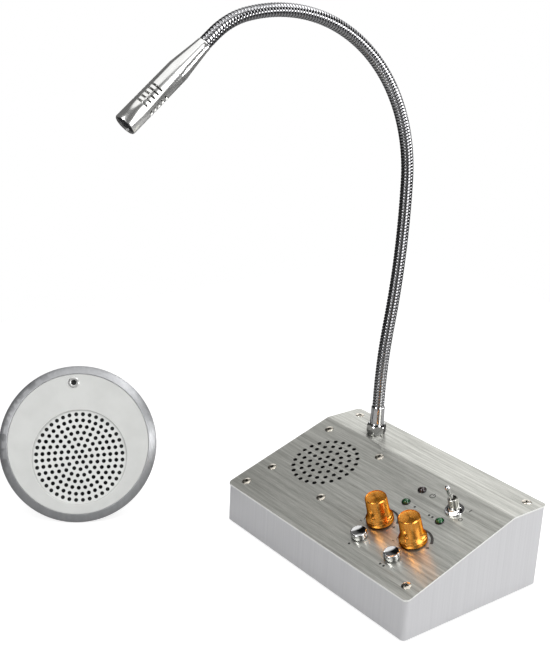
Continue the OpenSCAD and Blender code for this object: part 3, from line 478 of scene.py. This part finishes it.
screw = {"head": 3, "shank": 1.5, "dome": 0.5, "side": 8.8, "front": 8.2, "back": 7.5, "length": 7.5,
         "speaker": (-48.4, 53.9), "spacing": 25.5, "slot": 1.05, "reach": 2, "deep": 1.5}
head, shank, dome = screw["head"], screw["shank"], screw["dome"]
crossScrew = turned("cross_screw", [
    (0, -screw["length"]), (shank - 0.2, -screw["length"]), (shank, -screw["length"] + 0.3),
    (shank, shank - head), (head, 0), (head - 0.08, 0.16), (head * 0.72, dome * 0.8), (head * 0.4, dome),
    (0, dome)], 40)
bars = []
for turn in (0, 90):
    deselect()
    bpy.ops.mesh.primitive_cube_add(size=1)
    bar = named("bar")
    edit(bar, "FACE")
    bpy.ops.transform.resize(value=(2 * screw["reach"], screw["slot"], 2 * screw["deep"]))
    bpy.ops.mesh.select_all(action="DESELECT")
    bpy.ops.object.mode_set(mode="OBJECT")
    for face in bar.data.polygons:
        face.select = face.normal.z < -0.5
    bpy.ops.object.mode_set(mode="EDIT")
    bpy.ops.transform.resize(value=(0.45, 0.6, 1))  # the recess narrows as it goes in
    bpy.ops.object.mode_set(mode="OBJECT")
    bars.append(moved(bar, Matrix.Rotation(math.radians(turn), 4, "Z")))
cutter = moved(joined("cross", bars), Matrix.Translation((0, 0, dome)))
crossScrew = smooth(rounded(cut(crossScrew, cutter), 0.04, 2, 40))
crossScrew.data.materials.clear()
crossScrew.data.materials.append(screwZinc)
crossScrew.data.materials.append(zincWithPaintedRecessShade)
for face in crossScrew.data.polygons:  # the walls and floor of the cross, dark with painted shade
    x, y, z = face.center
    if math.hypot(x, y) < screw["reach"] and z > -screw["deep"] and (face.normal.z < 0.7 or z < dome * 0.5):
        face.material_index = 1

halfWide, halfDeep = console["width"] / 2, console["depth"] / 2
corners = [onSlope(side * (halfWide - screw["side"]), screw["front"]) for side in (-1, 1)]
corners += [onFlat(side * (halfWide - screw["side"]), halfDeep - screw["back"]) for side in (-1, 1)]
middle, spacing = screw["speaker"], screw["spacing"]
around = [onSlope(middle[0] + i * spacing, middle[1] + j * spacing) for i in (-1, 1) for j in (-1, 1)]
turns = (52, 20, 75, 33, 61, 8, 44, 29)  # each stopped where it was tight
sets = []
for places, first in ((corners, 0), (around, 4)):
    tight = [place @ Matrix.Rotation(math.radians(turn), 4, "Z")
             for place, turn in zip(places, turns[first:])]
    sets.append([moved(copied(crossScrew, "s"), place) for place in tight])
setIn(joined("panel_cross_screws", sets[0]), here, "console", "screw_metal", None, "panel_screws")
setIn(joined("speaker_cross_screws", sets[1]), here, "console", "screw_metal", None, "speaker_screws")
bpy.data.objects.remove(crossScrew)
print("screws made")


knob = {"s": 36.8, "gap": 1, "height": 18, "radius": 6.95, "flange": 8.65, "recess": 6.1, "bore": 3,
        "thread": 3.9}
r, f, g = knob["radius"], knob["flange"], knob["gap"]
top = g + knob["height"]
knobProfile = [  # up the outside, over the top, and down the bore
    (knob["recess"], g), (f - 0.4, g), (f - 0.12, g + 0.12), (f, g + 0.4), (f, g + 2.3), (f - 0.06, g + 2.8),
    (f - 0.25, g + 3.2), (f - 0.55, g + 3.66), (f - 0.85, g + 4.1), (r + 0.55, g + 5), (r + 0.36, g + 5.5),
    (r + 0.2, g + 6), (r + 0.1, g + 6.6), (r + 0.03, g + 7.2), (r - 0.25, top - 0.72), (r - 0.3, top - 0.6),
    (r - 0.72, top - 0.08), (r - 0.8, top), (r - 1, top), (r - 1.12, top - 0.08), (r - 1.2, top - 0.35),
    (r - 1.3, top - 0.37), (0, top - 0.37), (0, top - 3.5), (knob["bore"], top - 3.5), (knob["bore"], 5.4),
    (knob["thread"], 5.4), (knob["thread"], 3.4), (knob["recess"], 3.4), (knob["recess"], g)]
for i, (side, x) in enumerate(zip(("left", "right"), columns)):
    place = onSlope(x, knob["s"])
    # Gold anodising over turned grooves: upright lights on the side, a fan on the top, partly from the
    # grooves and partly painted highlight in the colour; redder seen aslant
    gold = turnedMetal("goldAnodisedKnob_%d" % (i + 1), "#fc9832", "#ffbe62", "#8a2c08", 0.25, place)
    body = smooth(turned("turned_knob_%d" % (i + 1), knobProfile, 96), 28)
    setIn(body, place, "knob_" + side, "knob_gold", gold, "knob_%d" % (i + 1))
print("knobs made")


button = {"s": 19.5, "radius": 5, "bottom": 1, "top": 4.2, "ceiling": 3.4, "stem": 1.85, "ring": 4.2,
          "ringHeight": 1.2, "hole": 3.52}
r, top = button["radius"], button["top"]
for i, (side, x) in enumerate(zip(("left", "right"), columns)):
    cap = turned("button_%d" % (i + 1), [
        (0, -5.5), (button["stem"], -5.5), (button["stem"], button["ceiling"]), (r - 0.5, button["ceiling"]),
        (r - 0.5, button["bottom"]), (r - 0.12, button["bottom"]), (r, button["bottom"] + 0.12),
        (r, top - 0.55), (r - 0.05, top - 0.35), (r - 0.16, top - 0.17), (r - 0.33, top - 0.05),
        (r - 0.5, top), (r - 0.65, top - 0.03), (r - 0.8, top - 0.11), (r - 1.1, top - 0.2),
        (0, top - 0.26)], 72)
    place = onSlope(x, button["s"])
    setIn(smooth(cap, 40), place, "button_" + side, "chrome", chrome, "button_cap_%d" % (i + 1))
ring, high, hole = button["ring"], button["ringHeight"], button["hole"]
ringProfile = [
    (hole, 0), (ring, 0), (ring, 0.9), (ring - 0.3, high), (3.7, high), (hole, high - 0.15), (hole, 0)]
rings = [moved(turned("r", ringProfile, 72), onSlope(x, button["s"])) for x in columns]
setIn(smooth(joined("button_rings", rings), 40), here, "console", "chrome", chrome, "button_nuts")

spring = {"wire": 0.15, "coil": 2.8, "low": 1.51, "high": 3.39, "turns": 2, "travel": 0.8}
for i, (side, x) in enumerate(zip(("left", "right"), columns)):
    wire, low, high = spring["wire"], spring["low"], spring["high"]
    angles = [math.radians(a) for a in range(0, 361, 45)]
    section = [(spring["coil"] + wire * math.cos(a), low + wire + wire * math.sin(a)) for a in angles]
    coil = drawn("button_spring_%d_wire" % (i + 1), section)
    bpy.ops.mesh.select_all(action="SELECT")
    bpy.ops.mesh.remove_doubles(threshold=1e-4)
    bpy.ops.object.mode_set(mode="OBJECT")
    modify(coil, "SCREW", angle=2 * math.pi, screw_offset=(high - low - 2 * wire) / spring["turns"],
           iterations=spring["turns"], steps=32, render_steps=32, use_merge_vertices=False)
    edit(coil)
    bpy.ops.mesh.fill_holes(sides=0)
    bpy.ops.mesh.normals_make_consistent(inside=False)
    bpy.ops.object.mode_set(mode="OBJECT")
    place, foot = onSlope(x, button["s"]), onSlope(x, button["s"], low)
    setIn(smooth(coil, 50), place, "console", "spring_steel", springWire, "button_spring_%d" % (i + 1))
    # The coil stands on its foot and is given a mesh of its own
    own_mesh(coil)
print("buttons made")


lamp = {"s": 58.7, "power": 72.7, "radius": 2.5, "foot": 2.85, "centre": -0.1, "leg": 1.27,
        "legSize": (0.5, 0.5, 4.7), "legMiddle": -6.6}


def lens(place):
    r, c = lamp["radius"], lamp["centre"]
    angles = [math.radians(a) for a in range(0, 90, 10)]
    dome = [(r * math.cos(a), c + r * math.sin(a)) for a in angles]
    base = [(0, -4.2), (lamp["foot"], -4.2), (lamp["foot"], -3), (r, -3)]
    bulb = turned("l", base + dome + [(0, c + r)], 40)
    legs = []
    for side in (-1, 1):
        deselect()
        bpy.ops.mesh.primitive_cube_add(size=1)
        leg = named("leg")
        edit(leg)
        bpy.ops.transform.resize(value=lamp["legSize"])
        bpy.ops.transform.translate(value=(side * lamp["leg"], 0, lamp["legMiddle"]))
        legs.append(leg)
    return moved(joined("l", [bulb] + legs), place)


lenses = [lens(onSlope(x, lamp["s"])) for x in columns]
setIn(smooth(joined("channel_lenses", lenses)), here, "console", "lamp_green", lampGreen, "channel_lamps")
powerLens = joined("power_lens", [lens(onSlope(columns[0], lamp["power"]))])
setIn(smooth(powerLens), here, "console", "lamp_dark", lampDark, "power_lamp")
print("lamps made")


toggle = {"s": 71.6, "pivot": 4.2, "tilt": 10, "washer": 0.8, "washerRadius": 6, "nut": 2.4, "flats": 8,
          "bore": 3.2}
togglePlace = onSlope(columns[1], toggle["s"])
lever = turned("switch_bat", [
    (0, -5.5), (0.75, -5.5), (0.9, -5.3), (0.9, -2.3), (1.6, -1.75), (2.15, -1), (2.35, 0), (2.15, 1),
    (1.6, 1.75), (1.12, 2.05), (1.17, 3.5), (1.3, 7), (1.45, 11), (1.56, 13.9), (1.68, 14.6), (1.69, 14.9),
    (1.6, 15.5), (1.36, 16), (0.9, 16.35), (0.45, 16.48), (0, 16.5)], 40)
leaning = (togglePlace @ Matrix.Translation((0, 0, toggle["pivot"]))
           @ Matrix.Rotation(math.radians(toggle["tilt"]), 4, "X"))
setIn(smooth(lever, 50), leaning, "switch_lever", "chrome", chrome, "toggle_lever")

low, high = toggle["washer"], toggle["washer"] + toggle["nut"]
wide = toggle["washerRadius"]
washer = turned("w", [
    (3.3, 0), (wide - 0.15, 0), (wide, 0.15), (wide, low - 0.15), (wide - 0.15, low), (3.3, low),
    (3.3, 0)], 64)
deselect()
overCorners = toggle["flats"] / 2 / math.cos(math.pi / 6)
bpy.ops.mesh.primitive_cylinder_add(vertices=6, radius=overCorners, depth=toggle["nut"])
nut = named("n")
moved(nut, Matrix.Translation((0, 0, (low + high) / 2)))
chamfer = turned("c", [
    (0, low - 0.1), (4.3, low - 0.1), (4.78, low + 0.3), (4.4, high - 0.45), (4.1, high + 0.1),
    (0, high + 0.1)], 48)
modify(nut, "BOOLEAN", operation="INTERSECT", solver="EXACT", object=chamfer)
bpy.data.objects.remove(chamfer)
cut(nut, turned("b", [(0, 0), (toggle["bore"], 0), (toggle["bore"], 5), (0, 5)], 40))
trim = joined("switch_nut_and_washer", [rounded(nut, 0.1, 3), washer])
setIn(smooth(trim), togglePlace, "console", "chrome", chrome, "toggle_nut", "toggle_washer")
print("switch made")


marks = {"lift": 0.02, "film": 0.04, "wedge": 10.2, "dot": 0.8, "dotStep": 2.8, "pen": 0.5,
         "dots": ((1, 23.9, 11), (2, 52.8, 11), (1, 31.5, 58.7), (2, 45.3, 58.7)), "plus": (10.9, 0.9),
         "minus": (-9.6, -7.4), "powerSign": (33, 72.7), "switchOn": (61, 76.8), "switchOff": (61.6, 67.4)}


def band(inner, first, last, start, sweep, steps=36):  # an arc whose width runs from first to last
    piece = drawn("band", [(inner, 0), (inner + 1, 0)])
    bpy.ops.mesh.select_all(action="SELECT")
    bpy.ops.mesh.spin(steps=steps, angle=-math.radians(sweep), center=(0, 0, 0), axis=(0, 0, 1))
    bpy.ops.mesh.select_all(action="SELECT")
    bpy.ops.mesh.remove_doubles(threshold=1e-4)
    bpy.ops.object.mode_set(mode="OBJECT")
    for vertex in piece.data.vertices:
        x, y, z = vertex.co
        if math.hypot(x, y) > inner + 0.5:
            share = math.degrees(math.atan2(y, x)) % 360 / sweep
            wide = first + (last - first) * min(share, 1)
            vertex.co *= (inner + wide) / math.hypot(x, y)
    return moved(piece, Matrix.Rotation(math.radians(start), 4, "Z"))


def stroke(length, turn=0):
    deselect()
    bpy.ops.mesh.primitive_plane_add(size=1)
    piece = named("stroke")
    edit(piece)
    bpy.ops.transform.resize(value=(length, marks["pen"], 1))
    return moved(joined("stroke", [piece]), Matrix.Rotation(math.radians(turn), 4, "Z"))


printed = []
for x in columns:
    printed.append(moved(band(marks["wedge"], 1.9, 0.3, 24, 190), onSlope(x, knob["s"])))
    plus = onSlope(x + marks["plus"][0], knob["s"] + marks["plus"][1])
    printed += [moved(stroke(2), plus), moved(stroke(2, 90), plus)]
    printed.append(moved(stroke(2), onSlope(x + marks["minus"][0], knob["s"] + marks["minus"][1])))
for count, x, s in marks["dots"]:
    for i in range(count):
        step = marks["dotStep"] * i - marks["dotStep"] / 2 * (count - 1)
        printed.append(moved(band(0, marks["dot"], marks["dot"], 0, 360, 24), onSlope(x + step, s)))
x, s = marks["powerSign"]
printed.append(moved(band(1.5, marks["pen"], marks["pen"], 120, 300), onSlope(x, s)))
printed.append(moved(stroke(2, 90), onSlope(x, s + 1.5)))
printed.append(moved(stroke(2.8, 90), onSlope(*marks["switchOn"])))
printed.append(moved(band(0.9, marks["pen"], marks["pen"], 0, 360), onSlope(*marks["switchOff"])))
film = modify(joined("printed_marks", printed), "SOLIDIFY", thickness=marks["film"], offset=1)
lifted = Matrix.Translation(Vector((0, -math.sin(slopeAngle), math.cos(slopeAngle))) * marks["lift"])
setIn(film, lifted, "console", "switch_black", ink)
print("marks printed")


def woundTube(low, length):  # one flat-topped rib screwed up the length, its height kept in a UV map
    r0, r1, pitch = neck["diameter"] / 2 - neck["groove"], neck["diameter"] / 2, neck["pitch"]
    rib = ((0, 0), (0.06, 0.45), (0.11, 0.8), (0.17, 0.96), (0.25, 1), (0.5, 1), (0.75, 1), (0.83, 0.96),
           (0.89, 0.8), (0.94, 0.45), (1, 0))
    tube = drawn("tube", [(r0 + (r1 - r0) * high, low - pitch + pitch * along) for along, high in rib])
    bpy.ops.object.mode_set(mode="OBJECT")
    modify(tube, "SCREW", angle=2 * math.pi, screw_offset=pitch, iterations=math.ceil(length / pitch) + 2,
           steps=24, render_steps=24, use_merge_vertices=False)
    edit(tube)
    bpy.ops.mesh.remove_doubles(threshold=1e-3)
    bpy.ops.mesh.normals_make_consistent(inside=False)
    bpy.ops.object.mode_set(mode="OBJECT")
    heights = tube.data.uv_layers.new(name="ribHeight")
    for loop in tube.data.loops:
        x, y, z = tube.data.vertices[loop.vertex_index].co
        heights.data[loop.index].uv = ((math.hypot(x, y) - r0) / (r1 - r0), z / length)
    return tube


def trimmed(piece, low, high):
    edit(piece)
    bpy.ops.mesh.bisect(plane_co=(0, 0, low), plane_no=(0, 0, 1), use_fill=True, clear_inner=True)
    bpy.ops.mesh.select_all(action="SELECT")
    bpy.ops.mesh.bisect(plane_co=(0, 0, high), plane_no=(0, 0, 1), use_fill=True, clear_outer=True)
    bpy.ops.object.mode_set(mode="OBJECT")
    return piece


def bentAlongNeck(piece):
    for vertex in piece.data.vertices:
        vertex.co = alongNeck(vertex.co.z) @ Vector((vertex.co.x, vertex.co.y, 0))
    piece.data.update()
    return piece


tube = woundTube(-neck["tail"], neck["length"] + 2 * neck["tail"])
cuts = [-neck["tail"], *neck["cuts"], neck["length"] + neck["tail"]]
tubeNodes = [("neck_root", "neck_lower"), ("neck_middle",), ("neck_arch",), ("neck_end",)]
for i, hinge in enumerate(neck["joints"]):
    length = bentAlongNeck(trimmed(copied(tube, "wound_tube_%d" % (i + 1)), cuts[i], cuts[i + 1]))
    reach = min(hinge - cuts[i], cuts[i + 1] - hinge) * 0.92  # nearly to the length's ends; the two points found from it are not used
    setIn(smooth(length, 60), here, None, "neck_chrome", tubeChromeWithPaintedShade, *tubeNodes[i])
    alongNeck(hinge - reach).to_translation() * mm
    alongNeck(hinge + reach).to_translation() * mm
    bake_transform(length)
bpy.data.objects.remove(tube)

collar = turned("neck_collar", [
    (2.5, -10), (3.7, -10), (4, -9.6), (4, 7.3), (4.9, 7.3), (4.95, 7.6), (4.9, 8.6), (4.75, 9.4),
    (4.62, 14), (4.5, 19), (4.4, 19.5), (4.15, 19.85), (3.75, 19.85), (3.55, 19.5), (3.55, 12.5), (2.5, 12.5),
    (2.5, -10)], 72)
setIn(smooth(collar, 50), onFlat(neck["x"], neck["y"]), "console", "chrome", chrome, "neck_ferrule")
footNut = smooth(rounded(fromNode("neck_nut", "neck_foot_nut"), 0.25, 3, 25), 50)
setIn(footNut, here, "console", "chrome", chrome, "neck_nut")
print("gooseneck made")


micShell = smooth(rounded(fromNode("mic_shell", "microphone_shell"), 0.1, 2, 40), 40)
setIn(micShell, here, "microphone", "chrome", satinChrome, "mic_shell")
print("microphone made")


outerRing = smooth(rounded(fromNode("outer_ring", "outer_bevel_ring"), 0.25, 3), 30)
setIn(outerRing, here, "console", "ring_metal", ringMetal, "outer_ring")
outerFront = smooth(rounded(fromNode("outer_face", "outer_front"), 0.25, 3), 30)
setIn(outerFront, here, "console", "face_metal", facePaint, "outer_face")
perforated = fromNode("outer_grille", "outer_perforated")
grille = {"opened": 0.17, "wallFace": 1.2}
facing = outerPlace.to_3x3() @ Vector((0, 0, 1))
outward = {}
for face in perforated.data.polygons:  # the walls of the punched holes, which are opened a little
    if face.area < grille["wallFace"] and abs(face.normal.dot(facing)) < 0.3:
        for index in face.vertices:
            outward[index] = outward.get(index, Vector()) - face.normal
for index, direction in outward.items():
    perforated.data.vertices[index].co += direction.normalized() * grille["opened"]
smooth(perforated, 30)
setIn(perforated, here, "console", "face_metal", meshPaint, "outer_grille")
print("outer unit made")


stays = {
    blackMoulding: ("power_inlet", "line_sockets", "outer_socket", "button_switches", "outer_mic_capsule"),
    glossBlack: ("lamp_holders",),
    foam: ("speaker_gasket", "outer_gasket"),
    conePaper: ("speaker_cone", "outer_speaker_cone"),
    basketPaint: ("speaker_frame", "outer_speaker_frame"),
    magnetFerrite: ("speaker_magnet", "outer_speaker_magnet"),
    plainNickel: ("speaker_nuts", "board_screws", "pot_nuts", "pot_shaft_1", "pot_shaft_2", "pot_bodies",
                  "toggle_body", "neck_lock_nut", "mic_capsule"),
    boardMask: ("main_board",),
    capSleeve: ("capacitors",),
    sinkAluminium: ("amplifier_chip",),
    creamNylon: ("wire_headers",),
    blackPaint: ("mic_grille", "outer_can", "outer_screws"),
    satinNickel: ("outer_mic_eyelet",)}
for finish, names in stays.items():
    for name in names:
        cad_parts[name].data.materials.clear()
        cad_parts[name].data.materials.append(finish)
print("CAD surfaces set")


# Sizes in metres. The camera sees the floor white; to all else it darkens outwards, which is what keeps
# the tube's edges dark
paper = {"size": 1.04, "pale": 0.22, "dark": 0.46, "lift": 0.3}
deselect()
bpy.ops.mesh.primitive_plane_add(size=paper["size"], location=(0, 0, -console["foot"] * mm))
floor = named("floor")
floorPaint, tree, shader = surface("paperFloor")  # matt paper, with the pieces' shadows on it
shader.inputs["Roughness"].default_value = 0.9
shader.inputs["Emission Color"].default_value = (1, 1, 1, 1)
ray = addNode(tree, "ShaderNodeLightPath")
spot = addNode(tree, "ShaderNodeTexCoord")
away = addNode(tree, "ShaderNodeVectorMath", {0: spot.outputs["Object"]}, operation="LENGTH")
distance = away.outputs["Value"]
shade = addNode(tree, "ShaderNodeValToRGB", {"Fac": distance},
                ((paper["pale"], "#a6a6a6"), (paper["dark"], "#1e1e1e")))
lift = addNode(tree, "ShaderNodeMapRange", {"Value": distance}, in_From_Min=paper["lift"],
               in_From_Max=paper["dark"], in_To_Min=0.78, in_To_Max=1)
glow = addNode(tree, "ShaderNodeMath", {0: ray.outputs["Is Camera Ray"], 1: lift}, operation="MULTIPLY")
feed(tree, shader, Base_Color=shade, Emission_Strength=glow)
floor.data.materials.append(floorPaint)


def softbox(name, at, aim, size, power):
    deselect()
    bpy.ops.object.light_add(type="AREA", location=at)
    light = named(name)
    light.data.shape = "RECTANGLE"
    light.data.size, light.data.size_y = size
    light.data.energy = power
    light.rotation_euler = (Vector(aim) - Vector(at)).to_track_quat("-Z", "Y").to_euler()


softbox("right", (1.15, 0.15, 0.85), (0, 0, 0.1), (0.35, 0.8), 5.2)
softbox("over", (0.1, 0.8, 1.15), (-0.05, 0, 0.15), (0.9, 0.5), 6)
softbox("rim", (0.85, 1.1, 0.22), (-0.15, -0.1, 0.05), (0.7, 0.35), 8)
softbox("left", (0.05, -1.15, 0.75), (-0.05, 0, 0.1), (0.4, 0.5), 9)

world = bpy.data.worlds.new("studio")
bpy.context.scene.world = world
world.use_nodes = True
tree = world.node_tree
background = tree.nodes["Background"]
where = addNode(tree, "ShaderNodeTexCoord")
parts = addNode(tree, "ShaderNodeSeparateXYZ", {"Vector": where.outputs["Generated"]})
# The camera sees white. Metal sees dark walls with upright bright ones between them, and a pale ceiling
angle = addNode(tree, "ShaderNodeMath", {0: parts.outputs["Y"], 1: parts.outputs["X"]}, operation="ARCTAN2")
turn = addNode(tree, "ShaderNodeMapRange", {"Value": angle}, in_From_Min=-math.pi, in_From_Max=math.pi)
walls = addNode(tree, "ShaderNodeValToRGB", {"Fac": turn}, (
    (0, 0.03), (0.24, 0.03), (0.26, 0.5), (0.34, 0.5), (0.36, 0.02), (0.45, 0.02), (0.465, 2), (0.54, 2),
    (0.56, 0.02), (0.82, 0.06), (0.845, 1), (0.925, 1), (0.95, 0.05)))
rise = addNode(tree, "ShaderNodeValToRGB", {"Fac": parts.outputs["Z"]},
               ((0, 1), (0.5, 1), (0.62, 0.1), (1, 0.1)))
room = addNode(tree, "ShaderNodeMix", {6: walls, 7: rise}, data_type="RGBA", blend_type="MULTIPLY", in_0=1)
ceiling = addNode(tree, "ShaderNodeValToRGB", {"Fac": parts.outputs["Z"]}, ((0.8, 0), (0.85, 0.8)))
sky = addNode(tree, "ShaderNodeMix", {6: room.outputs[2], 7: ceiling}, data_type="RGBA", blend_type="ADD",
              in_0=1)
tree.links.new(sky.outputs[2], background.inputs["Color"])
background.inputs["Strength"].default_value = 1.5
ray = addNode(tree, "ShaderNodeLightPath")
white = addNode(tree, "ShaderNodeBackground", in_Color=(1, 1, 1, 1), in_Strength=1)
choose = addNode(tree, "ShaderNodeMixShader", {0: ray.outputs["Is Camera Ray"], 1: background, 2: white})
tree.links.new(choose.outputs[0], tree.nodes["World Output"].inputs["Surface"])
bpy.context.scene.view_settings.view_transform = "Standard"
print("light set")
